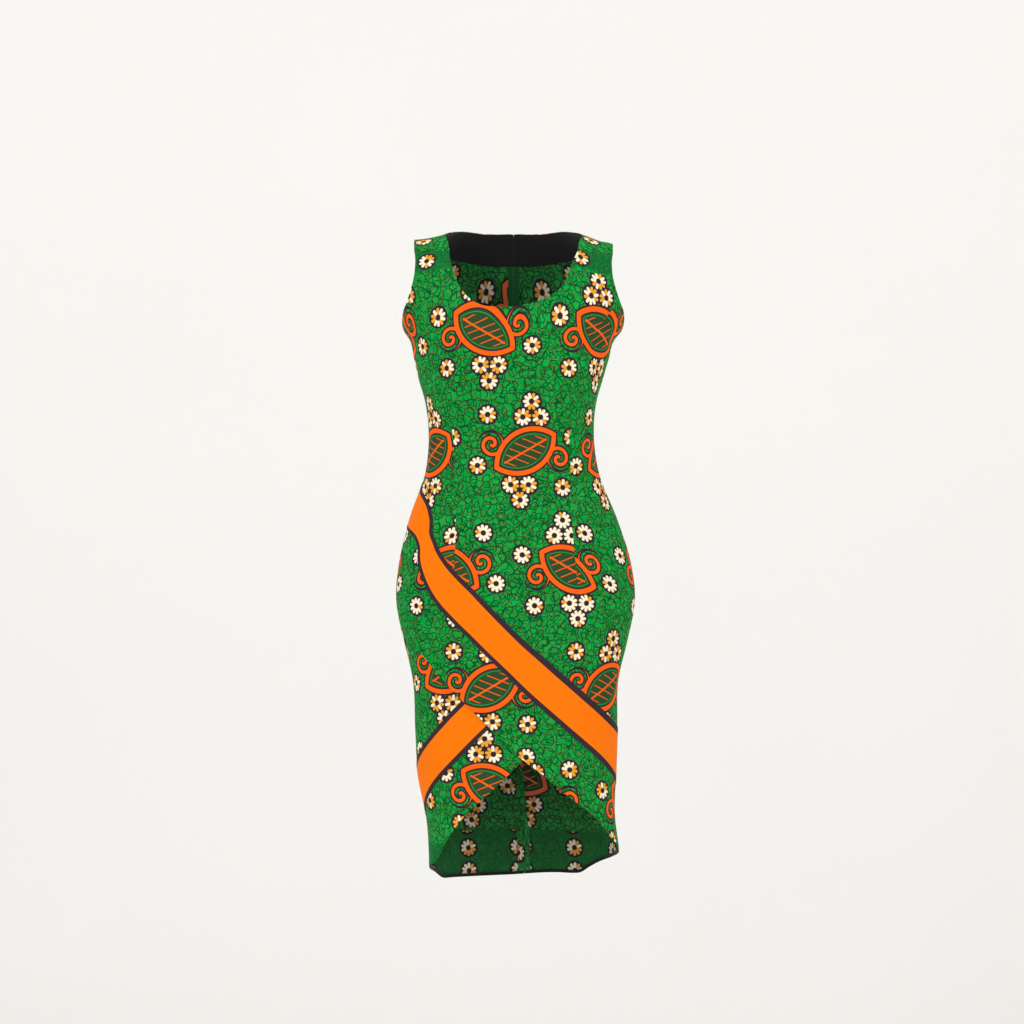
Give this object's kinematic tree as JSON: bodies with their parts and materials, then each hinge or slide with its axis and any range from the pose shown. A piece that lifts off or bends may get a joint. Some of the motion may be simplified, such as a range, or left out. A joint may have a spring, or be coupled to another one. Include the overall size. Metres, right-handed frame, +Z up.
{
  "type": "ankara wax print dress",
  "caption": "Sleeveless fitted sheath dress in wax print cotton, with a scoop neck, a tulip front of two crossing panels with plain orange bands, and a longer back.",
  "frame": {"origin": "midway between the tops of the two straps, at the height of the shoulder ridge that carries them", "axes": "+Z up, the front faces -Y, +X to the right of someone who looks at the front"},
  "size_m": [0.3463, 0.2434, 0.9466],
  "materials": {
    "wax_print": "printed cotton, smooth, low sheen",
    "orange_band": "plain printed cotton with dark edges",
    "black_facing": "plain black cotton",
    "zip_metal": "green enamel"
  },
  "bodies": {
    "dress": {"front_over": "wax_print", "front_under": "wax_print", "back_left": "wax_print", "back_right": "wax_print", "band_over": "orange_band", "band_under": "orange_band", "neck_facing_left": "black_facing", "neck_facing_right": "black_facing", "zip_slider": "zip_metal"},
    "pull": {"zip_pull": "zip_metal"}
  },
  "joints": [
    {"name": "zip_pull_hinge", "type": "hinge", "parent": "dress", "child": "pull", "pos_m": [0, 0.06536, -0.00322], "axis": [1, 0, 0], "range_deg": [0, 150]}
  ]
}
